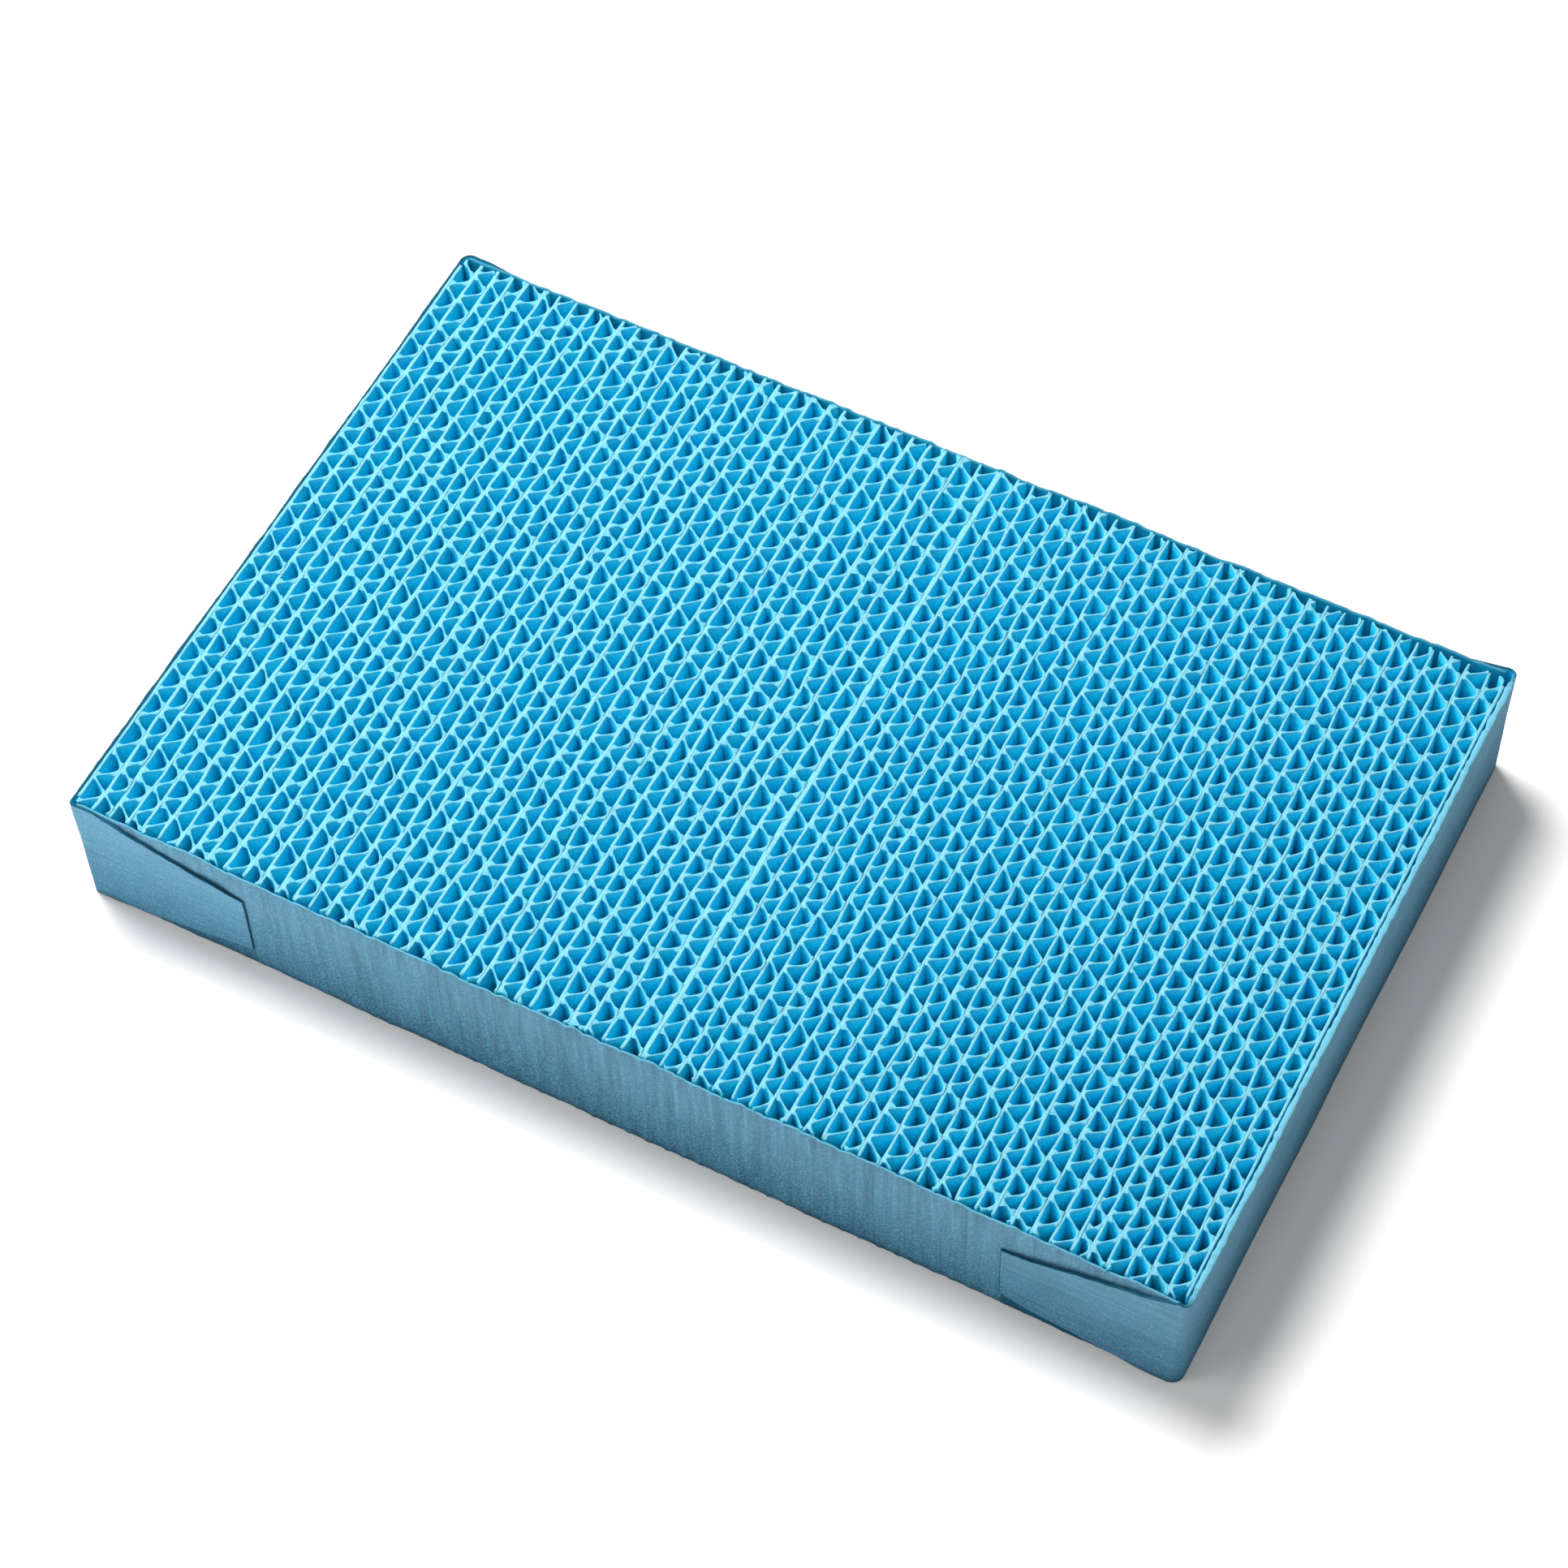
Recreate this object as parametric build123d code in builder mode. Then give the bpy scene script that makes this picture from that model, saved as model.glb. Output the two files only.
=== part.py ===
"""Honeycomb wick pad for an evaporative humidifier, in millimetres.

Flat liner sheets and fluted sheets of blue nonwoven stand on edge and alternate along X, so
that the flutes run straight through the pad along Z. Two such blocks are glued back to back.
A nonwoven strip is glued over the flute ends on each long side, and a wrap covers each end,
with tapered tabs that fold round onto the strips.

Origin: middle of the bottom face. +X along the pad, +Y along the liners, +Z up the flutes.
"""

import os
from math import atan2, floor, tan

from build123d import *

# ---------------------------------------------------------------- driving dimensions
pad_depth = 33.0  # along the flutes
core_width = 154.6  # length of each liner
flute_height = 3.4  # clear gap between two liners, filled by one fluted sheet
liner_thickness = 0.45
fluted_thickness = 0.45
crest_land = 0.8  # flat top of a flute, where it is glued to its liner
left_layers = 33
right_layers = 29
left_flute_pitch = 7.35
right_flute_pitch = 7.0
phase_step = 0.23  # share of a pitch by which each layer is set off from the one before

strip_thickness = 0.6  # strips over the flute ends
wrap_thickness = 0.6  # wraps over the two ends
right_end_gap = 1.2  # the right wrap stands clear of the last liner by this much
left_tab_length = 39.0  # from the outer face of the end to the tip of each of its tabs
left_tab_shoulder = 6.0  # the tab keeps the full depth of the pad up to here
left_tab_top_drop = 8.6  # from the top face down to the tip's upper corner
left_tab_bottom_rise = 6.4  # from the bottom face up to the tip's lower corner
right_tab_length = 37.8
right_tab_shoulder = 2.5
right_tab_top_drop = 10.0
right_tab_bottom_rise = 5.2

sheets_per_node = 2
liners_per_node = 3

# ---------------------------------------------------------------- derived places
layer_pitch = flute_height + liner_thickness
left_block_length = left_layers * layer_pitch + liner_thickness
right_block_length = right_layers * layer_pitch + liner_thickness
core_length = left_block_length + right_block_length
pad_length = core_length + right_end_gap + 2 * wrap_thickness

left_core_x = wrap_thickness - pad_length / 2
seam_x = left_core_x + left_block_length
right_core_x = left_core_x + core_length

strip_face_y = core_width / 2 + strip_thickness  # outer face of a strip
side_y = strip_face_y + wrap_thickness  # outer face of a tab

left_bend = strip_thickness  # inner bend radii, so each wrap clears the strip ends
right_bend = right_end_gap


def flute_line(pitch, phase):
    """Middle line of one fluted sheet as (across, along) points, past both liner ends.

    Across is measured from the middle of the gap: +1 and -1 stand for the two crests.
    """
    half_turns = 2 * (floor(core_width / pitch) + 4)
    start = -half_turns / 4 * pitch - phase * pitch
    points = []
    for turn in range(half_turns):
        crest_y = start + turn * pitch / 2
        side = 1 if turn % 2 else -1
        points += [(side, crest_y - crest_land / 2), (side, crest_y + crest_land / 2)]
    return points


def flute_outline(gap_x, pitch, phase):
    """Closed outline of one fluted sheet whose gap starts at gap_x.

    Both sides are the middle line set off by half the thickness, with mitred corners: a corner
    moves along Y by half the thickness times the tangent of half the angle it turns.
    """
    reach = (flute_height - fluted_thickness) / 2
    middle_x = gap_x + flute_height / 2
    wall_angle = atan2(2 * reach, pitch / 2 - crest_land)
    mitre = fluted_thickness / 2 * tan(wall_angle / 2)
    line = flute_line(pitch, phase)

    def offset_side(face):
        points = []
        for index, (side, y) in enumerate(line):
            outwards = -1 if index % 2 == 0 else 1  # first corner of a crest, then the last
            x = middle_x + side * reach + face * fluted_thickness / 2
            points.append((x, y + outwards * side * face * mitre))
        return points

    return offset_side(1) + offset_side(-1)[::-1]


def fluted_sheets(label, first_gap_x, layers, pitch):
    """A node with some neighbouring fluted sheets, each a solid of its own."""
    with BuildPart() as sheets:
        for layer in layers:
            gap_x = first_gap_x + layer * layer_pitch
            with BuildSketch():
                with BuildLine():
                    Polyline(*flute_outline(gap_x, pitch, layer * phase_step % 1), close=True)
                make_face()
                with Locations((gap_x + flute_height / 2, 0)):
                    Rectangle(2 * flute_height, core_width, mode=Mode.INTERSECT)
            extrude(amount=pad_depth)
    sheets.part.label = label
    return sheets.part


def liners(label, first_liner_x, places):
    """A node with some neighbouring liners, each a solid of its own."""
    with BuildPart() as flats:
        middles = [
            (first_liner_x + place * layer_pitch + liner_thickness / 2, 0) for place in places
        ]
        with BuildSketch():
            with Locations(*middles):
                Rectangle(liner_thickness, core_width)
        extrude(amount=pad_depth)
    flats.part.label = label
    return flats.part


def block(name, block_x, layers, pitch):
    """Every node of one glued block: its fluted sheets, and the liners either side of each."""
    nodes = []
    first_gap_x = block_x + liner_thickness
    for number, first in enumerate(range(0, layers, sheets_per_node), start=1):
        group = range(first, min(first + sheets_per_node, layers))
        label = f"{name}_fluted_sheets_{number:02d}"
        nodes.append(fluted_sheets(label, first_gap_x, group, pitch))
    for number, first in enumerate(range(0, layers + 1, liners_per_node), start=1):
        group = range(first, min(first + liners_per_node, layers + 1))
        nodes.append(liners(f"{name}_liners_{number:02d}", block_x, group))
    return nodes


def side_strip(label, side):
    """Strip over the flute ends of one long side, ending where each wrap starts to bend."""
    start_x = left_core_x + left_bend
    with BuildPart() as strip:
        with BuildSketch():
            with Locations(((start_x + right_core_x) / 2, side * (core_width + strip_thickness) / 2)):
                Rectangle(right_core_x - start_x, strip_thickness)
        extrude(amount=pad_depth)
    strip.part.label = label
    return strip.part


def end_wrap(label, end, bend, length, shoulder, top_drop, bottom_rise):
    """Wrap over one end: a panel, and a tapered tab folded round onto each strip.

    end is -1 at the left and 1 at the right, and the tabs run back from it the other way.
    """
    end_x = end * pad_length / 2
    inner_x = end_x - end * wrap_thickness
    tip_x = end_x - end * length
    shoulder_x = end_x - end * shoulder
    with BuildPart() as wrap:
        with BuildSketch():
            with BuildLine():
                FilletPolyline(
                    (tip_x, side_y),
                    (end_x, side_y),
                    (end_x, -side_y),
                    (tip_x, -side_y),
                    radius=bend + wrap_thickness,
                )
                Line((tip_x, -side_y), (tip_x, -strip_face_y))
                FilletPolyline(
                    (tip_x, -strip_face_y),
                    (inner_x, -strip_face_y),
                    (inner_x, strip_face_y),
                    (tip_x, strip_face_y),
                    radius=bend,
                )
                Line((tip_x, strip_face_y), (tip_x, side_y))
            make_face()
        extrude(amount=pad_depth)
        with BuildSketch(Plane.XZ):
            Polygon(
                (shoulder_x, pad_depth),
                (tip_x, pad_depth - top_drop),
                (tip_x, pad_depth),
                align=None,
            )
            Polygon((shoulder_x, 0), (tip_x, bottom_rise), (tip_x, 0), align=None)
        extrude(amount=2 * side_y, both=True, mode=Mode.SUBTRACT)
    wrap.part.label = label
    return wrap.part


def main():
    nodes = block("left_block", left_core_x, left_layers, left_flute_pitch)
    nodes += block("right_block", seam_x, right_layers, right_flute_pitch)
    nodes += [
        side_strip("front_side_strip", -1),
        side_strip("back_side_strip", 1),
        end_wrap(
            "left_end_wrap",
            -1,
            left_bend,
            left_tab_length,
            left_tab_shoulder,
            left_tab_top_drop,
            left_tab_bottom_rise,
        ),
        end_wrap(
            "right_end_wrap",
            1,
            right_bend,
            right_tab_length,
            right_tab_shoulder,
            right_tab_top_drop,
            right_tab_bottom_rise,
        ),
    ]
    os.makedirs("parts", exist_ok=True)
    for node in nodes:
        export_step(node, f"parts/{node.label}.step")
    print(f"{len(nodes)} nodes, {pad_length:.1f} x {2 * side_y:.1f} x {pad_depth:.1f} mm")


main()
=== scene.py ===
import math

import bpy
import numpy as np
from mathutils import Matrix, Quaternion, Vector


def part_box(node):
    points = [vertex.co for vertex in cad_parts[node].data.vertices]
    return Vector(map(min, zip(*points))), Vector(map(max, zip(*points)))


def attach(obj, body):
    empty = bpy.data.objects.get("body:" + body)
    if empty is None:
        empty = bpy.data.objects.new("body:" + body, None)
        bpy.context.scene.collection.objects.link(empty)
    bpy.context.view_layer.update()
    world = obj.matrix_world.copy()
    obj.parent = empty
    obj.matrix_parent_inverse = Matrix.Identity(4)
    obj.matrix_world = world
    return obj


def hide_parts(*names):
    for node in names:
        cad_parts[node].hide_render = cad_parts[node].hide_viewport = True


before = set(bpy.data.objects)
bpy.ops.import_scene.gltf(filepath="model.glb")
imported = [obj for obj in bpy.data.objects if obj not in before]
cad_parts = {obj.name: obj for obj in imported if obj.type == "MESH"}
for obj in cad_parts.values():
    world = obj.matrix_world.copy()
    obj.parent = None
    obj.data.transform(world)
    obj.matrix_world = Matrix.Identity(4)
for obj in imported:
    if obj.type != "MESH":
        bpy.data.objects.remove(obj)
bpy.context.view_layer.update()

mm = 0.001
perNode = dict(sheets=2, liners=3)    # how many fluted sheets, or liners, a node of the frame holds


def boxOf(node):
    # the two far corners of a node
    low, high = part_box(node)
    return np.array(low), np.array(high)


def nodesOf(start):
    return sorted(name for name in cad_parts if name.startswith(start))


def blockFacts(side):
    # three liners span two pitches and a thickness, and two fluted sheets two pitches less a thickness, so
    # those two nodes differ by two thicknesses
    linerNodes = nodesOf(side + "_block_liners")
    flutedNodes = nodesOf(side + "_block_fluted_sheets")
    linerLow, linerHigh = boxOf(linerNodes[0])
    flutedLow, flutedHigh = boxOf(flutedNodes[0])
    start, end = linerLow[0], boxOf(linerNodes[-1])[1][0]
    thickness = ((linerHigh[0] - linerLow[0]) - (flutedHigh[0] - flutedLow[0])) / 2
    pitch = (linerHigh[0] - linerLow[0] - thickness) / 2
    layers = round((end - start - thickness) / pitch)
    return dict(start=start, end=end, linerThickness=thickness, layers=layers,
                linerNodes=linerNodes, flutedNodes=flutedNodes)


leftBlock, rightBlock = blockFacts("left"), blockFacts("right")
padDepth = boxOf("front_side_strip")[1][2]
coreFront = boxOf("front_side_strip")[1][1]
coreBack = boxOf("back_side_strip")[0][1]
stripThickness = coreFront - boxOf("front_side_strip")[0][1]
leftEnd, rightEnd = boxOf("left_end_wrap")[0][0], boxOf("right_end_wrap")[1][0]
sideFace = boxOf("left_end_wrap")[1][1]
wrapThickness = leftBlock["start"] - leftEnd
print("pad read from the frame:", leftBlock["layers"], "and", rightBlock["layers"], "layers")


def eased(x):
    # nought up to 0 and one from 1 on, and between them three x squared less two x cubed
    x = np.clip(x, 0, 1)
    return x * x * (3 - 2 * x)


def waver(t, seed):
    # smooth wander between -1 and 1, the same on every run: random values at whole numbers, each eased into
    # the next; a number added to t only picks another stretch of it
    table = np.random.default_rng(seed).uniform(-1, 1, 512)
    t = np.asarray(t, float)
    step = np.floor(t).astype(int)
    share = eased(t - step)
    return table[step % 512] * (1 - share) + table[(step + 1) % 512] * share


def waver2(a, b, seed):
    # the same over two directions: a square grid of random values, eased along one and then along the other
    table = np.random.default_rng(seed).uniform(-1, 1, (128, 128))
    a, b = np.broadcast_arrays(np.asarray(a, float), np.asarray(b, float))
    i, j = np.floor(a).astype(int), np.floor(b).astype(int)
    shareA, shareB = eased(a - i), eased(b - j)
    low = table[i % 128, j % 128] * (1 - shareA) + table[(i + 1) % 128, j % 128] * shareA
    high = table[i % 128, (j + 1) % 128] * (1 - shareA) + table[(i + 1) % 128, (j + 1) % 128] * shareA
    return low * (1 - shareB) + high * shareB


def squareTo(x, y):
    # across a path in plan: its step (run, rise) turned a right angle, which is (rise, -run) over its length
    run, rise = np.gradient(x, axis=0), np.gradient(y, axis=0)
    length = np.hypot(run, rise)
    return np.stack([rise / length, -run / length, np.zeros_like(x)], axis=-1), length


def shell(middle, outwards, plus, minus, edge, pale=0.0, tone=0.0, inner="minus"):
    # any sheet of the pad, closed all round: middle is a grid of points, columns along the sheet and rows up
    # it; one face is middle plus outwards times plus, the other is middle less outwards times minus, and the
    # loop of rows up one face and down the other is carried along the columns and capped at both ends.
    # a point's paint is how much of it is cut edge or painted shadow, how pale that edge is, how light the
    # face is, with
    #     # mottling and painted light, and whether the face looks into the pad
    front = middle + outwards * plus[..., None]
    back = middle - outwards * minus[..., None]
    ring = np.concatenate([front, back[:, ::-1]], axis=1)
    columns, rows = ring.shape[:2]
    at = np.arange(columns * rows).reshape(columns, rows)
    here, onward = at[:-1], at[1:]
    skin = np.stack([here, onward, np.roll(onward, -1, 1), np.roll(here, -1, 1)], axis=-1).reshape(-1, 4)
    half = rows // 2
    up, down = at[:, :half], at[:, :half - 1:-1]
    caps = [np.stack([up[0, :-1], up[0, 1:], down[0, 1:], down[0, :-1]], axis=-1),
            np.stack([down[-1, :-1], down[-1, 1:], up[-1, 1:], up[-1, :-1]], axis=-1)]
    inside = np.full((columns, half), 1.0 if inner == "plus" else 0.0)
    paint = np.stack(np.broadcast_arrays(edge, pale, tone, inside), axis=-1)
    other = np.stack(np.broadcast_arrays(edge, pale, tone, 1 - inside), axis=-1)
    paint = np.concatenate([paint, other[:, ::-1]], axis=1)
    return ring.reshape(-1, 3), np.concatenate([skin, *caps]), paint.reshape(-1, 4)


def makePiece(name, shells, material, nodes):
    # some shells as one mesh with their paint, which rides the pad in place of its nodes
    starts = np.cumsum([0] + [len(points) for points, _, _ in shells])
    points = np.concatenate([points for points, _, _ in shells])
    quads = np.concatenate([quads + start for (_, quads, _), start in zip(shells, starts)])
    paint = np.concatenate([paint for _, _, paint in shells])
    mesh = bpy.data.meshes.new(name)
    mesh.vertices.add(len(points))
    mesh.vertices.foreach_set("co", points.astype(np.float32).ravel())
    mesh.loops.add(quads.size)
    mesh.loops.foreach_set("vertex_index", quads.astype(np.int32).ravel())
    mesh.polygons.add(len(quads))
    mesh.polygons.foreach_set("loop_start", np.arange(0, quads.size, 4, dtype=np.int32))
    mesh.polygons.foreach_set("loop_total", np.full(len(quads), 4, np.int32))
    mesh.polygons.foreach_set("use_smooth", np.ones(len(quads), bool))
    mesh.update(calc_edges=True)
    mesh.validate()
    layer = mesh.attributes.new("paint", "FLOAT_COLOR", "POINT")
    layer.data.foreach_set("color", paint.astype(np.float32).ravel())
    mesh.materials.append(material)
    piece = bpy.data.objects.new(name, mesh)
    bpy.context.scene.collection.objects.link(piece)
    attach(piece, "root")
    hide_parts(*nodes)
    return piece


# the rows up a liner or a fluted sheet, from a cut edge inwards
cutRows = dict(
    depths=(0.0, 0.08, 0.5, 3.5),       # mm below the edge
    fullness=(0.78, 0.97, 1.0, 1.0),    # share of the thickness
    pale=(1.0, 0.3, 0.0, 0.0),          # how much shows as cut edge
    glue=(1.0, 1.0, 0.9, 0.5),          # share of the glue's length
    flare=dict(                         # how much wider a liner has frayed
        left=(1.42, 1.4, 1.25, 1.0),
        right=(1.15, 1.15, 1.1, 1.0),
    ),
)


def bothWays(values):
    # one value for each row, in from the bottom edge and then out to the top edge
    values = np.array(values)
    return np.concatenate([values, values[::-1]])


def rowsUp(low, high):
    # heights of the rows for every column, measured in from its bottom edge and from its top edge
    depths = np.array(cutRows["depths"]) * mm
    return np.concatenate([low[:, None] + depths, high[:, None] - depths[::-1]], axis=1)


stack = dict(
    seed=40,
    blockSeed=dict(left=100, right=200),
    rightSpring=0.5,       # mm that the last layers spring out towards the loose right wrap
    layerSpread=0.08,      # how much one layer is thicker or thinner than the next
    edgeRag=0.13,          # mm, how ragged the cut edges are
    ragLengths=(1.6, 0.7),     # mm along a sheet, for a slow waver and a quicker one
    endSpread=0.25,        # mm that one sheet's end is short of the next one's
    backShort=1.1,         # mm that the sheets stop short of the back strip at the right end
    backShortFrom=20,      # mm along X, where they start to
    cornerTuck=3.2,        # mm, radius that the wraps press into the corners of the stack
    frontTuck=0.6,         # share of it in front
)
rightBlock["end"] += stack["rightSpring"] * mm


def linerPlaces(block, seed):
    # even pitch, with each layer's share thickened or thinned, and the whole kept to the block's length
    first = block["start"] + block["linerThickness"] / 2
    last = block["end"] - block["linerThickness"] / 2
    shares = 1 + stack["layerSpread"] * np.random.default_rng(seed).uniform(-1, 1, block["layers"])
    return first + (last - first) * np.concatenate([[0], np.cumsum(shares)]) / shares.sum()


def sheetEnds(x, seed):
    # where a sheet starts and stops along Y: the core's ends, each a little short, and in a corner tucked in
    # by the radius less the root of radius squared less the square of how far into the corner the sheet is
    rng = np.random.default_rng(seed)
    front = coreFront + mm * rng.uniform(0, stack["endSpread"])
    shortFrom = stack["backShortFrom"] * mm
    short = stack["backShort"] * eased((x - shortFrom) / (rightEnd - shortFrom)) * rng.uniform(0.55, 1.1)
    back = coreBack - mm * (short + rng.uniform(0, stack["endSpread"]))
    radius = stack["cornerTuck"] * mm
    into = np.clip(radius - min(x - leftBlock["start"], rightBlock["end"] - x), 0, radius)
    tuck = radius - math.sqrt(max(radius ** 2 - into ** 2, 0))
    return front + tuck * stack["frontTuck"], back - tuck


def cutEdges(along, seed):
    # bottom and top of a sheet at each column: ragged by wavers, and each sheet cut a little high or low
    rag = stack["edgeRag"] * mm
    slow, quick = stack["ragLengths"]
    own = np.random.default_rng(seed).uniform(-0.6, 0.6)
    top = padDepth - rag + rag * (0.55 * waver(along / (slow * mm) + 30, seed + 1) + own)
    top += rag * 0.5 * waver(along / (quick * mm) + 10, seed + 3)
    low = rag * (0.6 + 0.5 * waver(along / (slow * mm) + 60, seed + 2))
    return low, top


liner = dict(
    columns=156,
    wander=0.27,           # mm that a liner wanders along its length
    wanderLengths=(9, 3.4),    # mm, for a slow waver and a quicker one
    quickShare=0.45,       # of the quicker one
    lean=0.22,             # mm that it leans from top to bottom
    leanLength=24,         # mm along it
    endStill=0.25,         # share of that left in a block's first and last liner
    fullness=1.12,         # share of the frame's thickness
    fullnessWander=0.2,    # and how far that strays
    seamFullness=0.3,      # added where the two blocks are glued together
    tone=0.6,              # how light its cut edges are, as paint
)


def linerX(block, places, number, y, z):
    # a liner's middle: its place, plus two wavers along it and a lean, all smaller at the block's ends
    inner = liner["endStill"] if number in (0, len(places) - 1) else 1.0
    key = block["seed"] + number * 7
    slow, quick = liner["wanderLengths"]
    wander = waver(y / (slow * mm) + 50, key) + liner["quickShare"] * waver(y / (quick * mm) + 90, key + 1)
    lean = waver(y / (liner["leanLength"] * mm) + 20, key + 2) * (z / padDepth - 0.5)
    return places[number] + inner * mm * (liner["wander"] * wander + liner["lean"] * lean)


def linerShell(block, places, number, side):
    # a flat sheet on edge along its wandering middle, thicker and thinner by a waver, and frayed at the cuts
    key = block["seed"] + 5000 + number * 11
    front, back = sheetEnds(places[number], key)
    along = np.linspace(front, back, liner["columns"])
    z = rowsUp(*cutEdges(along, key))
    y = np.repeat(along[:, None], z.shape[1], axis=1)
    x = linerX(block, places, number, y, z)
    seam = places[number] in (leftBlock["places"][-1], rightBlock["places"][0])
    full = liner["fullness"] + liner["seamFullness"] * seam
    full = full + liner["fullnessWander"] * waver(along / (5 * mm), key + 5)
    thick = block["linerThickness"] / 2 * full
    half = thick[:, None] * bothWays(cutRows["fullness"]) * bothWays(cutRows["flare"][side])
    outwards = np.zeros((*x.shape, 3))
    outwards[..., 0] = 1
    middle = np.stack([x, y, z], axis=-1)
    return shell(middle, outwards, half, half, bothWays(cutRows["pale"]), liner["tone"])


flute = dict(
    along=dict(left=21.05, right=22.1),       # flutes from the front strip to the back one
    thickness=0.36,        # mm
    columnsEach=20,        # columns for one flute
    pitchWander=0.09,      # of a flute
    phaseStep=0.23,        # of a flute, from one layer to the next
    phaseJump=0.11,        # and how far that strays
    sharpness=dict(left=0.87, right=0.88),    # of the crests: nearer 1 is sharper
    sharpnessWander=0.015,
    crestLean=1.3,         # over 1 rounds the right crests and sharpens the left ones
    glueLength=dict(left=1.75, right=1.5),    # mm of wall from a crest that glue and loose fibre reach
    glueSpread=0.4,        # share of that by which it differs from crest to crest
    glueAngle=0.72,        # radians between a flute's wall and the liner there
    sway=0.22,             # mm that a flute sways from bottom to top
    dent=0.02,             # share of the gap that its flanks are dented
    spareTurns=0.7,        # flutes counted past each end, to cut the sheet from
    tablePoints=4000,
)


def fluteShell(block, places, number, side):
    # a wave between two liners, with glue in its corners: x is the left-hand liner's face plus the wave's
    # share of the way to the right-hand one's
    key = block["seed"] + 9000 + number * 13
    thick = flute["thickness"] * mm / 2
    linerHalf = block["linerThickness"] / 2
    front, back = sheetEnds((places[number] + places[number + 1]) / 2, key)
    count = flute["along"][side]
    pitch = (coreBack - coreFront) / count
    # turns are flutes counted along the sheet, and table is where along Y each of them falls
    turns = np.linspace(-flute["spareTurns"], count + flute["spareTurns"], flute["tablePoints"])
    stray = flute["pitchWander"] * waver(turns * 0.8 + 40, key)
    table = coreFront + (turns - block["phases"][number] % 1 + 0.5 + stray - stray[0]) * pitch
    first, last = np.interp([front, back], table, turns)
    # columns are closer together at the crests than on the flanks
    evenly = np.linspace(first, last, int((last - first) * flute["columnsEach"]))
    turn = evenly + 0.5 * np.sin(4 * np.pi * evenly) / (4 * np.pi)
    turn[0], turn[-1] = first, last
    along = np.interp(turn, turns, table)
    # the wave is the arcsine of a sine just under full height: a triangle with rounded crests, from -1 to 1
    sharp = flute["sharpness"][side] + flute["sharpnessWander"] * waver(turn * 2 + 5, key + 1)
    wave = np.arcsin(sharp * np.sin(2 * np.pi * turn)) / np.arcsin(sharp)
    z = rowsUp(*cutEdges(along * 1.3, key + 2))
    y = along[:, None] + mm * flute["sway"] * waver2(along[:, None] / (6 * mm) + 50, z / (9 * mm), key + 3)
    leftFace = linerX(block, places, number, y, z) + linerHalf
    rightFace = linerX(block, places, number + 1, y, z) - linerHalf
    # the share is bent by a power, which leans the crests, and dented on the flanks
    share = 1 - ((1 - wave) / 2) ** flute["crestLean"]
    dent = flute["dent"] * waver2(turn[:, None] * 3, z / (5 * mm), key + 4)
    share = share[:, None] + dent * (1 - wave[:, None] ** 2)
    x = leftFace + thick + share * (rightFace - leftFace - 2 * thick)
    outwards, length = squareTo(x, y)
    half = thick * bothWays(cutRows["fullness"]) * np.ones_like(x)
    # glue rounds the corner between wall and liner: its height off the wall is a radius less the root of
    # radius squared less distance-to-its-end squared, and never more than the gap square to the wall
    angle = flute["glueAngle"]
    spread = 1 + flute["glueSpread"] * waver(turn * 1.7 + 3, key + 5)
    reach = flute["glueLength"][side] * mm * spread[:, None]
    reach = reach * bothWays(cutRows["glue"])
    radius = reach * math.tan(angle / 2)

    def withGlue(gap):
        left = reach - gap / math.sin(angle)
        arc = radius - np.sqrt(np.clip(radius ** 2 - left ** 2, 0, None))
        arc = np.where(left > 0, np.where(left < radius, arc, 1.0), 0.0)
        return half + np.minimum(arc, (gap + 0.03 * mm) / np.maximum(np.abs(outwards[..., 0]), 0.6))

    plus = withGlue(np.maximum(rightFace - (x + outwards[..., 0] * half), 0))
    minus = withGlue(np.maximum((x - outwards[..., 0] * half) - leftFace, 0))
    # glue and crushed fibre make the crests paler than the flanks
    crest = np.abs(wave)[:, None] ** 5
    middle = np.stack([x, y, z], axis=-1)
    return shell(middle, outwards, plus, minus, bothWays(cutRows["pale"]), crest), length[:, 0].sum()


def nodeOf(tree, kind, **settings):
    made = tree.nodes.new(kind)
    for key, value in settings.items():
        setattr(made, key, value)
    return made


def newMaterial(name, roughness):
    # a matt shader to build on
    material = bpy.data.materials.new(name)
    material.use_nodes = True
    tree = material.node_tree
    tree.nodes.clear()
    out = nodeOf(tree, "ShaderNodeOutputMaterial")
    shader = nodeOf(tree, "ShaderNodeBsdfPrincipled")
    shader.inputs["Roughness"].default_value = roughness
    shader.inputs["Specular IOR Level"].default_value = 0.08
    tree.links.new(shader.outputs[0], out.inputs[0])
    return material, tree, shader


def objectPoint(tree, scale=(1, 1, 1), turn=(0, 0, 0)):
    # the point on the pad, turned, and divided by scale so that what reads it is drawn out that much
    place = nodeOf(tree, "ShaderNodeTexCoord")
    mapping = nodeOf(tree, "ShaderNodeMapping", vector_type="TEXTURE")
    mapping.inputs["Scale"].default_value = scale
    mapping.inputs["Rotation"].default_value = turn
    tree.links.new(place.outputs["Object"], mapping.inputs[0])
    return mapping.outputs[0]


def objectHeight(tree):
    # height above the floor
    place = nodeOf(tree, "ShaderNodeTexCoord")
    parts = nodeOf(tree, "ShaderNodeSeparateXYZ")
    tree.links.new(place.outputs["Object"], parts.inputs[0])
    return parts.outputs[2]


def paintOf(tree):
    # the piece's own paint: cut edge or painted shadow, pale edge, and light face with mottling and painted
    # light, and apart from them the face into the pad
    painted = nodeOf(tree, "ShaderNodeAttribute", attribute_name="paint")
    parts = nodeOf(tree, "ShaderNodeSeparateColor")
    tree.links.new(painted.outputs["Color"], parts.inputs[0])
    return parts.outputs, painted.outputs["Alpha"]


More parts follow.
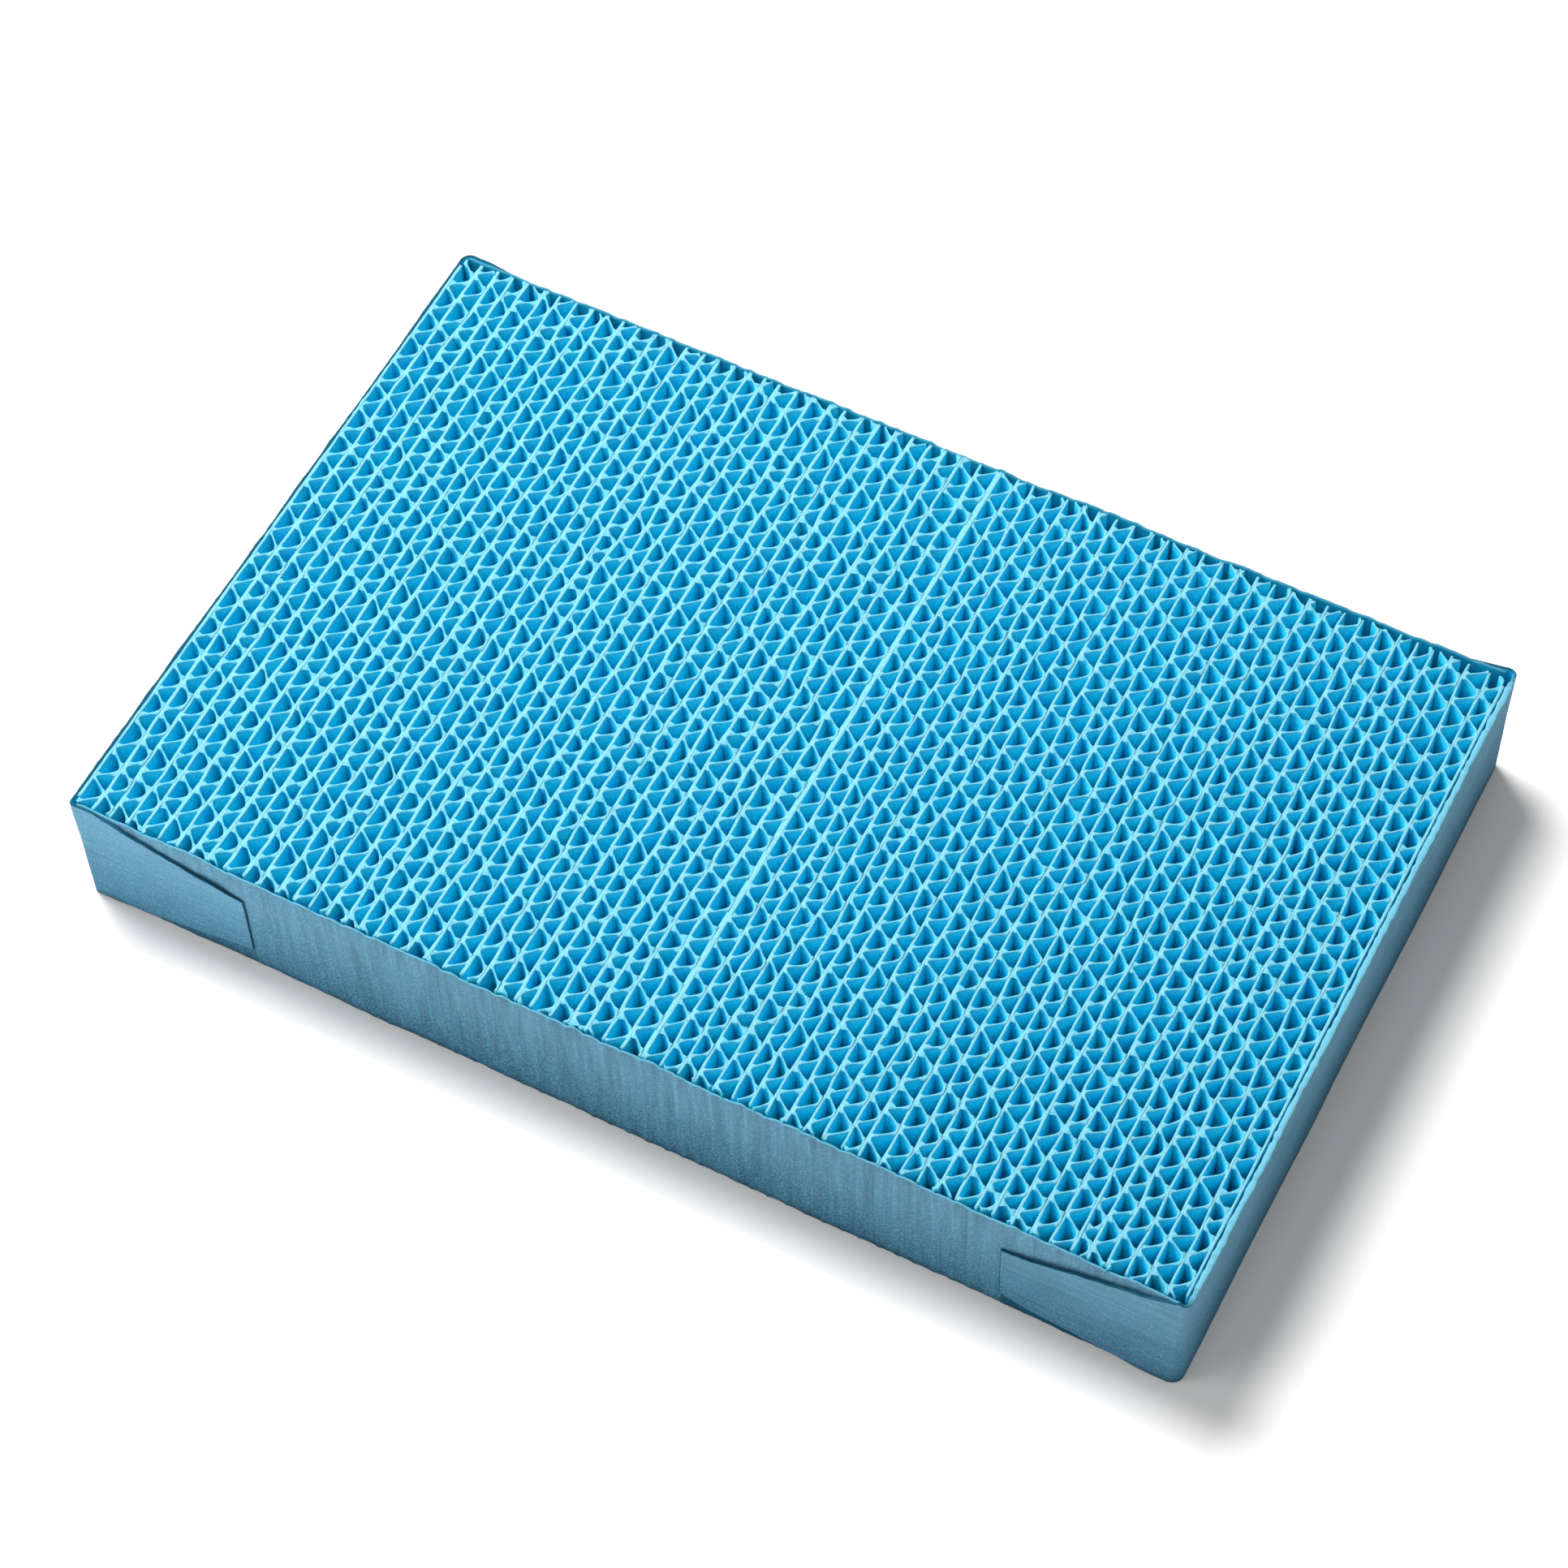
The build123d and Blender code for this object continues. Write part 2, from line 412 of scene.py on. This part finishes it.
def noise(tree, point, scale, detail=3.0, rough=0.55):
    made = nodeOf(tree, "ShaderNodeTexNoise")
    made.inputs["Scale"].default_value = scale
    made.inputs["Detail"].default_value = detail
    made.inputs["Roughness"].default_value = rough
    tree.links.new(point, made.inputs["Vector"])
    return made.outputs["Fac"]


def maths(tree, operation, a, b=0.0, c=None):
    made = nodeOf(tree, "ShaderNodeMath", operation=operation)
    for socket, value in zip(made.inputs, (a, b, c)):
        if value is None:
            continue
        if isinstance(value, (int, float)):
            socket.default_value = value
        else:
            tree.links.new(value, socket)
    return made.outputs[0]


def ramped(tree, value, low, high, toLow=0.0, toHigh=1.0):
    # eased from toLow to toHigh as the value goes from low to high
    made = nodeOf(tree, "ShaderNodeMapRange", interpolation_type="SMOOTHSTEP")
    tree.links.new(value, made.inputs["Value"])
    made.inputs["From Min"].default_value = low
    made.inputs["From Max"].default_value = high
    made.inputs["To Min"].default_value = toLow
    made.inputs["To Max"].default_value = toHigh
    return made.outputs[0]


def blended(tree, share, a, b):
    # colour a, with this share of colour b
    made = nodeOf(tree, "ShaderNodeMix", data_type="RGBA")
    tree.links.new(share, made.inputs[0])
    for socket, value in ((made.inputs[6], a), (made.inputs[7], b)):
        if isinstance(value, tuple):
            socket.default_value = (*value, 1.0)
        else:
            tree.links.new(value, socket)
    return made.outputs[2]


def bumped(tree, shader, height, strength, distance):
    made = nodeOf(tree, "ShaderNodeBump")
    made.inputs["Strength"].default_value = strength
    made.inputs["Distance"].default_value = distance
    tree.links.new(height, made.inputs["Height"])
    tree.links.new(made.outputs[0], shader.inputs["Normal"])


sheetFinish = dict(
    roughness=0.9,
    cutCyan=(0.20, 0.48, 0.575),      # bare fibre on a cut edge
    cutBlue=(0.085, 0.38, 0.52),      # and where dye shows through it
    belowCutFrayAndLight=(0.07, 0.71, 0.95),      # wall just below a cut edge: partly frayed fibre and partly painted light falling into the cells from above
    fadeDepth=(0.3, 2.6),             # mm down where that starts to fade, and where it has
    wallBlue=(0.002, 0.73, 0.97),
    paleBlue=(0.09, 0.88, 0.99),      # the wall's raised fibres
    deepBlue=(0.001, 0.52, 0.92),     # and its denser clumps
    fibreRag=0.6,                     # mm, how raggedly the fibres end the fade
    fibreScale=2200, fibreRough=0.6,
    clumpScale=260, clumpStreak=2.5,
    paleFrom=(0.5, 0.68),             # fibre noise where the pale blue starts, and where it is full
    deepFrom=(0.45, 0.75),            # clump noise, the same for the deep blue
    deepMost=0.6,                     # and the most of it
    cutFrom=(0.45, 1.0),              # cut edge paint plus fibre, where bare fibre starts and is full
    bump=(0.9, 0.25),                 # strength, and mm
)


def sheetMaterial(name, streak):
    # dyed nonwoven, blue, with fibres drawn out by streak up the wall; the wall is brighter near a cut edge,
    # by its depth below
    #     # the nearer one, partly frayed fibre and partly painted light falling into the cells from above,
    #     and the cut itself is pale bare fibre where the paint says so
    look = sheetFinish
    material, tree, shader = newMaterial(name, look["roughness"])
    fibres = noise(tree, objectPoint(tree, (1, 1, streak)), look["fibreScale"], 3, look["fibreRough"])
    clumps = noise(tree, objectPoint(tree, (1, 1, look["clumpStreak"])), look["clumpScale"], 2)
    height = objectHeight(tree)
    depth = maths(tree, "MINIMUM", height, maths(tree, "SUBTRACT", padDepth, height))
    ragged = maths(tree, "MULTIPLY_ADD", fibres, look["fibreRag"] * mm, depth)
    fadeStart, fadeEnd = [(down + look["fibreRag"] / 2) * mm for down in look["fadeDepth"]]
    # painted light with fray: the wall is paler the nearer it is to a cut edge, fading out over fadeDepth
    below = ramped(tree, ragged, fadeStart, fadeEnd, 1.0, 0.0)
    (cutPaint, palePaint, _), _ = paintOf(tree)
    cut = ramped(tree, maths(tree, "MULTIPLY_ADD", fibres, 0.4, cutPaint), *look["cutFrom"])
    wall = blended(tree, ramped(tree, fibres, *look["paleFrom"]), look["wallBlue"], look["paleBlue"])
    deep = ramped(tree, clumps, *look["deepFrom"], 0.0, look["deepMost"])
    wall = blended(tree, deep, wall, look["deepBlue"])
    wall = blended(tree, below, wall, look["belowCutFrayAndLight"])
    bareFibres = ramped(tree, fibres, 0.35, 0.6, 0.0, 0.45)
    bareShare = maths(tree, "MULTIPLY_ADD", palePaint, 0.75, bareFibres)
    bare = blended(tree, bareShare, look["cutBlue"], look["cutCyan"])
    tree.links.new(blended(tree, cut, wall, bare), shader.inputs["Base Color"])
    strength, distance = look["bump"]
    bumped(tree, shader, fibres, strength, distance * mm)
    return material


linerStuff = sheetMaterial("linerNonwoven", streak=4)
fluteStuff = sheetMaterial("fluteNonwoven", streak=2)


def grouped(count, size):
    return [range(first, min(first + size, count)) for first in range(0, count, size)]


def buildBlock(block, side):
    # one glued block: its fluted sheets and then its liners, in the frame's groups
    places = block["places"]
    developed = 0.0
    for group, node in zip(grouped(block["layers"], perNode["sheets"]), block["flutedNodes"]):
        made = [fluteShell(block, places, number, side) for number in group]
        flatLength = float(sum(length for _, length in made))
        piece = makePiece(side + "Flutes" + node[-2:], [sheet for sheet, _ in made], fluteStuff,
                          [node])
        developed += flatLength
    for group, node in zip(grouped(block["layers"] + 1, perNode["liners"]), block["linerNodes"]):
        sheets = [linerShell(block, places, number, side) for number in group]
        piece = makePiece(side + "Liners" + node[-2:], sheets, linerStuff, [node])
    print(side, "block:", block["layers"], "fluted sheets, mean flat length",
          round(developed / block["layers"] / mm, 1), "mm")


for side, block in (("left", leftBlock), ("right", rightBlock)):
    block["seed"] = stack["seed"] + stack["blockSeed"][side]
    block["places"] = linerPlaces(block, block["seed"])
    jumps = np.random.default_rng(block["seed"] + 1).uniform(-1, 1, block["layers"]) * flute["phaseJump"]
    block["phases"] = np.cumsum(flute["phaseStep"] + jumps)
buildBlock(leftBlock, "left")
buildBlock(rightBlock, "right")


wrapFinish = dict(
    roughness=0.85,
    top=(0.094, 0.252, 0.37),         # blue-grey at the top edge
    low=(0.03, 0.138, 0.225),         # darker at the floor: painted shade
    fibre=(0.24, 0.43, 0.56),
    darkEdgeAndShadow=(0.008, 0.075, 0.12),     # a pressed cut edge, with painted shade of the slits along the tabs' edges, and painted shadow below the tabs
    cutPale=(0.14, 0.42, 0.55),       # a frayed one
    shade=(3, 0.6),                   # mm up from the floor with painted contact shade, and how light its lowest is
    fibreScale=4500, fibreStreak=5,
    fibreFrom=(0.4, 0.7),             # noise where the fibre colour starts, and where it is full
    fibreMost=0.4,                    # and the most of it
    lineScale=1700,
    lineLight=(0.6, 0.7),             # how much the lines lighten the cloth, on top of how light it is
    paintLight=0.5,                   # and how much its paint does, which is partly mottling and partly painted light
    edgeFrom=(0.15, 0.75),            # cut edge paint, which also holds painted shadow below the tabs, where the edge's colour starts, and where it is full
    bumpScale=5000,
    bump=(0.25, 0.06),                # strength, and mm
)


def wrapMaterial(name, turn, grain, inside):
    # blue-grey nonwoven with painted shade towards the floor and painted contact shade just above it, with
    # fine fibres drawn out
    #     # along turn and lines along grain; the paint lightens the face, partly mottling and partly painted
    #     light, marks its cut edges and paints shadow below the tabs, and the face into the pad is blue
    look = wrapFinish
    material, tree, shader = newMaterial(name, look["roughness"])
    drawn = noise(tree, objectPoint(tree, (1, 1, look["fibreStreak"]), turn), look["fibreScale"], 2, 0.6)
    fine = noise(tree, objectPoint(tree), look["bumpScale"], 2)
    height = objectHeight(tree)
    # painted shade: the cloth darkens from its top edge down to the floor
    paintedShadeCloth = blended(tree, ramped(tree, height, 0.0, padDepth * 0.95), look["low"], look["top"])
    fibres = ramped(tree, drawn, *look["fibreFrom"], 0.0, look["fibreMost"])
    paintedShadeCloth = blended(tree, fibres, paintedShadeCloth, look["fibre"])
    (cutPaint, palePaint, toneAndPaintedLight), insidePaint = paintOf(tree)
    lines = noise(tree, objectPoint(tree, grain), look["lineScale"], 2)
    light = maths(tree, "MULTIPLY_ADD", lines, *look["lineLight"])
    # the tone paint adds painted light, at the left end and on the strips' ribs, on top of mottling
    light = maths(tree, "MULTIPLY_ADD", toneAndPaintedLight, look["paintLight"], light)
    shadeTop, shadeLight = look["shade"]
    # painted contact shade along the floor
    paintedContactShade = ramped(tree, height, 0.0, shadeTop * mm, shadeLight, 1.0)
    toned = nodeOf(tree, "ShaderNodeVectorMath", operation="SCALE")
    tree.links.new(paintedShadeCloth, toned.inputs[0])
    tree.links.new(maths(tree, "MULTIPLY", light, paintedContactShade), toned.inputs["Scale"])
    faces = blended(tree, insidePaint, toned.outputs[0], inside)
    cut = blended(tree, palePaint, look["darkEdgeAndShadow"], look["cutPale"])
    colour = blended(tree, ramped(tree, cutPaint, *look["edgeFrom"]), faces, cut)
    tree.links.new(colour, shader.inputs["Base Color"])
    strength, distance = look["bump"]
    bumped(tree, shader, fine, strength, distance * mm)
    return material


# shoulder, length, drop and rise are the tabs' own measures in mm; corner radii are front and back, in mm
wraps = dict(
    left=dict(
        node="left_end_wrap", seed=800, sign=-1,
        corner=(0.7, 2.0), cornerLow=(0.9, 2.4),      # at the top, and at the floor
        shoulder=6.0, length=39.0, topDrop=8.6, lowRise=6.4,
        lift=0.32, liftLow=0.25,      # mm that a tab's upper and lower edges stand off the strip
        rim=0.0,                      # how much thicker the cut edge across the end has puffed out
        fray=0.08,                    # mm, how raggedly it is frayed
        tone=0.56, paleEnd=0.0,       # how light the cloth is, painted light that makes the left wrap lighter than the right, and how pale the cut edge across the end
        tabShadowDarkness=0.6,                # how dark the painted shadow on the strip below the tabs is
    ),
    right=dict(
        node="right_end_wrap", seed=840, sign=1,
        corner=(1.0, 1.2), cornerLow=(2.3, 1.8),
        shoulder=2.5, length=37.8, topDrop=10.0, lowRise=5.2,
        lift=0.35, liftLow=0.4,
        rim=1.2,
        fray=0.45,
        tone=0.12, paleEnd=0.9,
        tabShadowDarkness=1.0,
    ),
)

ribs = dict(
    width=0.55,            # mm from a rib's middle to where it has fallen to about a third
    toneWidth=0.6,         # the same for the painted light on it
    fade=30,               # mm along X over which the ribs fade in and out
    least=0.35,            # share of them left beyond that
    bulge=0.18,            # mm that a strip bulges between them
    standOff=0.05,         # mm that it stands off the stack
    leftFade=90,           # mm from the left end over which its painted light fades
)

strips = dict(
    front=dict(
        node="front_side_strip", seed=700, sign=-1,
        step=0.35,                    # mm between columns
        wave=0.8,                     # mm that its long edges wave
        rib=0.16,                     # mm that it is raised over a liner
        ribFrom=-50, ribTo=90,        # mm along X, where the ribs show most
        ribPaintedLight=0.14, leftPaintedLight=0.4,   # painted light on the ribs and painted shade between them, and painted light at the left end
        pale=0.6,                     # how pale its cut edges are
    ),
    back=dict(
        node="back_side_strip", seed=740, sign=1,
        step=0.35,
        wave=0.6,
        rib=0.12,
        ribFrom=-90, ribTo=90,
        ribPaintedLight=0.14, leftPaintedLight=0.0,
        pale=0.4,
    ),
)


def paintedShadowBelowTabs(x, z):
    # painted shadow on a strip below the tabs, which rise from shoulder to tip, eased over half a millimetre
    paintedTabShadow = np.zeros_like(x)
    for spec in wraps.values():
        fromEnd = (x - leftEnd) if spec["sign"] < 0 else (rightEnd - x)
        toTip = np.clip((fromEnd / mm - spec["shoulder"]) / (spec["length"] - spec["shoulder"]), 0, 1)
        tabLow = spec["lowRise"] * mm * toTip
        covered = fromEnd < spec["length"] * mm
        paintedTabShadow = np.maximum(paintedTabShadow, spec["tabShadowDarkness"] * eased((tabLow - z) / (0.5 * mm)) * covered)
    return paintedTabShadow


def stripShell(spec):
    # a flat strip on the stack's side with wavy long edges; it stands off by half its thickness, a bell
    # curve over each liner, which is e to the minus distance-over-width squared, and a slow waver
    sign, key = spec["sign"], spec["seed"]
    low, high = boxOf("front_side_strip")
    along = np.arange(low[0], high[0], spec["step"] * mm)
    wave = spec["wave"] * mm
    bottom = wave * (0.2 + 0.35 * waver(along / (9 * mm), key) + 0.2 * waver(along / (3 * mm), key + 1))
    bottom = np.maximum(0.0, bottom)
    slow = waver(along / (7 * mm) + 9, key + 2)
    quick = waver(along / (1.9 * mm), key + 3)
    top = padDepth + wave * (0.5 * slow + 0.5 * quick - 0.35)
    # rows are closer near the floor, where the strip shows below the tabs
    share = np.concatenate([[0, 0.004], np.linspace(0.02, 0.22, 12), np.linspace(0.3, 0.98, 8), [0.996, 1]])
    fullness = np.concatenate([[0.45, 0.85], np.ones(20), [0.85, 0.45]])
    z = bottom[:, None] + (top - bottom)[:, None] * share
    x = np.repeat(along[:, None], z.shape[1], axis=1)
    liners = np.concatenate([leftBlock["places"], rightBlock["places"]])
    gap = np.abs(along[:, None] - liners).min(axis=1)
    fadeIn = eased((along - spec["ribFrom"] * mm) / (ribs["fade"] * mm))
    fadeOut = eased((spec["ribTo"] * mm - along) / (ribs["fade"] * mm))
    strength = spec["rib"] * (ribs["least"] + (1 - ribs["least"]) * fadeIn * fadeOut)
    bell = np.exp(-((gap / (ribs["width"] * mm)) ** 2))
    rib = strength * bell * (1 + 0.5 * waver(along / (4 * mm), key + 4))
    off = mm * (rib[:, None] + ribs["bulge"] * waver2(x / (11 * mm) + 60, z / (9 * mm), key + 5))
    face = coreFront if sign < 0 else coreBack
    y = face + sign * (stripThickness / 2 + off + ribs["standOff"] * mm)
    outwards = np.zeros((*x.shape, 3))
    outwards[..., 1] = -1
    half = stripThickness / 2 * fullness * np.ones_like(x)
    # painted light on the ribs and painted shade between them, mottled, and painted light towards the left
    # end
    paintedRibLight = (2 * np.exp(-((gap / (ribs["toneWidth"] * mm)) ** 2)) - 0.6)[:, None]
    tone = spec["ribPaintedLight"] * strength[:, None] / spec["rib"] * paintedRibLight
    tone = tone * (0.6 + 0.5 * waver2(x / (2.3 * mm), z / (12 * mm) + 8, key + 6))
    tone = tone + 0.3 * waver2(x / (1.1 * mm), z / (11 * mm) + 5, key + 7)
    tone = tone + spec["leftPaintedLight"] * (1 - eased((x - leftEnd) / (ribs["leftFade"] * mm)))
    # painted shadow on the strip below the tabs, drawn in the dark edge colour and never pale
    paintedTabShadow = paintedShadowBelowTabs(x, z)
    edge = np.maximum((1 - fullness) * 1.8 * np.ones_like(x), paintedTabShadow * 0.6)
    pale = spec["pale"] * (1 - np.minimum(paintedTabShadow * 3, 1))
    return shell(np.stack([x, y, z], axis=-1), outwards, half, half, edge, pale, tone,
                 inner="minus" if sign < 0 else "plus")


stripStuff = wrapMaterial("stripNonwoven", turn=(0.0, 0.5, 0.0), grain=(1, 1, 30),
                          inside=(0.010, 0.30, 0.46))
for side, spec in strips.items():
    piece = makePiece(side + "SideStrip", [stripShell(spec)], stripStuff, [spec["node"]])
print("side strips made")


def wrapPath(spec, radius, rear, t):
    # plan of a wrap's middle as t runs from 0 at the front tab's tip to 1 at the back tab's: straight, a
    # quarter circle of this radius, straight across the end, a quarter circle of the rear one, straight
    sign = spec["sign"]
    half = wrapThickness / 2
    end = (leftEnd + half) if sign < 0 else (rightEnd - half)
    side = sideFace - half
    tip = end - sign * (spec["length"] * mm - half)
    tab = abs(end - tip)
    lengths = [tab - radius, np.pi / 2 * radius, 2 * side - radius - rear, np.pi / 2 * rear, tab - rear]
    marks = np.cumsum(lengths)
    s = t * marks[-1]
    x, y = np.empty_like(s), np.empty_like(s)
    stretch = np.minimum(np.searchsorted(marks, s, side="right"), 4)
    one, two, three, four, five = (stretch == number for number in range(5))
    x[one], y[one] = tip + sign * s[one], -side
    turn = (s[two] - marks[0]) / radius
    x[two] = end - sign * radius * (1 - np.sin(turn))
    y[two] = -side + radius * (1 - np.cos(turn))
    x[three], y[three] = end, -side + radius + s[three] - marks[1]
    turn = (s[four] - marks[2]) / rear
    x[four] = end - sign * rear * (1 - np.cos(turn))
    y[four] = side - rear * (1 - np.sin(turn))
    x[five], y[five] = end - sign * (rear + s[five] - marks[3]), side
    return x, y, marks[-1]


wrapGrid = dict(
    rows=16,
    columns=420,
    cornerColumns=30,      # more of them round each corner
    corners=((0.15, 0.18), (0.82, 0.85)),     # shares of the length where the corners are
    tips=(0.0004, 0.0012, 0.9988, 0.9996),    # and extra columns at the tabs' tips
    endFrom=36,            # mm from a tip, where the panel across the end starts
    tipLength=0.35,        # mm over which a tip thins out
    tipFullness=0.45,      # share of the thickness left there
)


def wrapShell(spec):
    # a sheet carried along its plan, with corner radii of its own in each row; both long edges are level
    # across the end and slope evenly from shoulder to tip over the tabs, and there stand off the strips
    key, sign = spec["seed"], spec["sign"]
    grid = wrapGrid
    share = np.concatenate([[0, 0.003, 0.012], np.linspace(0.06, 0.94, grid["rows"]), [0.988, 0.997, 1]])
    fullness = np.concatenate([[0.75, 0.92, 1], np.ones(grid["rows"]), [1, 0.92, 0.75]])
    cut = np.concatenate([[1, 0.6, 0], np.zeros(grid["rows"]), [0, 0.6, 1]])
    puffed = np.concatenate([np.zeros(grid["rows"] + 3), [0.8, 1, 1]])
    corners = [np.linspace(start, stop, grid["cornerColumns"]) for start, stop in grid["corners"]]
    t = np.unique(np.concatenate([np.linspace(0, 1, grid["columns"]), *corners, grid["tips"]]))
    paths = []
    for up in eased(share):
        radii = zip(spec["cornerLow"], spec["corner"])
        front, rear = [(low + (high - low) * up) * mm for low, high in radii]
        paths.append(wrapPath(spec, front, rear, t))
    x = np.stack([path[0] for path in paths], axis=1)
    y = np.stack([path[1] for path in paths], axis=1)
    total = paths[0][2]
    s = t * total
    fromTip = np.minimum(s, total - s)
    shoulder = (spec["length"] - spec["shoulder"]) * mm
    taper = np.clip(1 - fromTip / shoulder, 0, 1)
    wavy = 0.3 * mm * waver(s / (6 * mm) + 4, key) + 0.15 * mm * waver(s / (1.8 * mm), key + 1)
    ragged = mm * (0.22 * waver(s / (3.1 * mm), key + 8) + 0.12 * waver(s / (0.9 * mm), key + 9))
    frayed = spec["fray"] * mm * waver(s / (0.75 * mm), key + 10) * (taper == 0)
    high = padDepth + 0.12 * mm + wavy * 0.7 + frayed + (ragged - spec["topDrop"] * mm) * taper
    low = np.maximum(0.0, 0.2 * mm + wavy * (0.7 + 0.7 * np.minimum(4 * taper, 1)))
    low = low + spec["lowRise"] * mm * taper
    z = low[:, None] + (high - low)[:, None] * share
    outwards, _ = squareTo(x, y)
    outwards = outwards * sign
    onTab = eased(fromTip / (7 * mm)) * eased((shoulder - fromTip) / (8 * mm) + 0.2)
    lift = spec["lift"] * onTab[:, None] * eased((share - 0.7) / 0.3)
    lift += spec["liftLow"] * onTab[:, None] * eased((0.3 - share) / 0.3)
    lift += 0.12 * waver2(s[:, None] / (14 * mm), z / (10 * mm) + 30, key + 3)
    middle = np.stack([x, y, z], axis=-1) + outwards * (lift * mm)[..., None]
    # thinner at the tips, and the cut edge across the end is puffed out and frayed pale
    tip = np.clip(fromTip / (grid["tipLength"] * mm), 0, 1)
    onEnd = eased((fromTip - grid["endFrom"] * mm) / (5 * mm))[:, None]
    full = grid["tipFullness"] + (1 - grid["tipFullness"]) * np.sqrt(tip)
    half = wrapThickness / 2 * full[:, None] * fullness
    half = half * (1 + spec["rim"] * onEnd * puffed * (1 + 0.4 * waver(s / (1.3 * mm), key + 4))[:, None])
    edge = np.maximum(np.maximum(cut, 1 - tip[:, None]), onEnd * puffed * min(spec["rim"] * 2, 1))
    pale = spec["paleEnd"] * onEnd * np.ones_like(x)
    # painted light: the whole wrap lighter by its tone, more on the left, and mottled by a waver
    tone = spec["tone"] + 0.12 * waver2(s[:, None] / (5 * mm), z / (7 * mm) + 5, key + 7)
    # the left wrap's columns run the other way, so that its faces point outwards
    order = slice(None, None, -1) if sign < 0 else slice(None)
    values = [value[order] for value in (middle, outwards, half, half, edge, pale, tone)]
    return shell(*values), total


wrapStuff = wrapMaterial("wrapNonwoven", turn=(0.5, 1.1, 0.0), grain=(24, 24, 1),
                         inside=(0.003, 0.48, 0.78))
for side, spec in wraps.items():
    made, total = wrapShell(spec)
    piece = makePiece(side + "EndWrap", [made], wrapStuff, [spec["node"]])
print("end wraps made")


floorFinish = dict(
    reach=3,                          # m from the middle to each side
    roughness=0.9,
    white=(0.93, 0.91, 0.895),
    glowFrom=0.28, glowFull=0.75,     # m from the middle
)


def makeFloor():
    # a plain square, lit for the camera only where it is far from the pad, so that it runs out to white
    look = floorFinish
    reach = look["reach"]
    mesh = bpy.data.meshes.new("floor")
    corners = [(-reach, -reach, 0), (reach, -reach, 0), (reach, reach, 0), (-reach, reach, 0)]
    mesh.from_pydata(corners, [], [(0, 1, 2, 3)])
    material, tree, shader = newMaterial("floorWhite", look["roughness"])
    shader.inputs["Base Color"].default_value = (*look["white"], 1)
    shader.inputs["Emission Color"].default_value = (1, 1, 1, 1)
    place = nodeOf(tree, "ShaderNodeTexCoord")
    away = nodeOf(tree, "ShaderNodeVectorMath", operation="LENGTH")
    seen = nodeOf(tree, "ShaderNodeLightPath")
    tree.links.new(place.outputs["Object"], away.inputs[0])
    far = ramped(tree, away.outputs["Value"], look["glowFrom"], look["glowFull"])
    glow = maths(tree, "MULTIPLY", far, seen.outputs["Is Camera Ray"])
    tree.links.new(glow, shader.inputs["Emission Strength"])
    mesh.materials.append(material)
    floor = bpy.data.objects.new("floor", mesh)
    bpy.context.scene.collection.objects.link(floor)


# places and sizes in m, power in W
lights = dict(
    key=dict(place=(-0.38, 0.20, 0.87), size=0.54, power=16.0),
    fill=dict(place=(-0.44, -0.50, 0.58), size=0.5, power=1.9),
    near=dict(place=(0.26, -0.55, 0.85), size=0.6, power=1.75),
)
skyStrength = 0.21


def makeLights():
    # round lamps that all face the pad's middle
    for name, spec in lights.items():
        lamp = bpy.data.lights.new(name, "AREA")
        lamp.shape = "DISK"
        lamp.size = spec["size"]
        lamp.energy = spec["power"]
        made = bpy.data.objects.new(name, lamp)
        made.location = spec["place"]
        made.rotation_mode = "QUATERNION"
        made.rotation_quaternion = (-Vector(spec["place"])).to_track_quat("-Z", "Y")
        bpy.context.scene.collection.objects.link(made)


def makeSky():
    # white to the camera, and dimmer as a light
    world = bpy.data.worlds.new("sky")
    bpy.context.scene.world = world
    world.use_nodes = True
    tree = world.node_tree
    sky = tree.nodes["Background"]
    sky.inputs[0].default_value = (1, 1, 1, 1)
    seen = nodeOf(tree, "ShaderNodeLightPath")
    strength = maths(tree, "MULTIPLY_ADD", seen.outputs["Is Camera Ray"], 1 - skyStrength, skyStrength)
    tree.links.new(strength, sky.inputs[1])


# degrees, m, and mm for the lens
cameraView = dict(
    azimuth=29.45, elevation=57.16, roll=-2.22,
    distance=0.8313, target=(0.0027, -0.0108, 0.033), lens=97.09,
)


def makeCamera():
    # it stands back from the target along azimuth and elevation, looks at it level, and is then rolled
    view = cameraView
    a, e = math.radians(view["azimuth"]), math.radians(view["elevation"])
    back = Vector((math.sin(a) * math.cos(e), -math.cos(a) * math.cos(e), math.sin(e)))
    data = bpy.data.cameras.new("camera")
    data.sensor_width = 36
    data.lens = view["lens"]
    data.clip_start, data.clip_end = 0.01, 20
    camera = bpy.data.objects.new("camera", data)
    camera.rotation_mode = "QUATERNION"
    camera.location = Vector(view["target"]) + back * view["distance"]
    level = (-back).to_track_quat("-Z", "Y")
    camera.rotation_quaternion = level @ Quaternion((0, 0, 1), math.radians(view["roll"]))
    bpy.context.scene.collection.objects.link(camera)
    bpy.context.scene.camera = camera


makeFloor()
makeLights()
makeSky()
makeCamera()
bpy.context.scene.view_settings.view_transform = "Standard"
print("floor, lights and camera made")
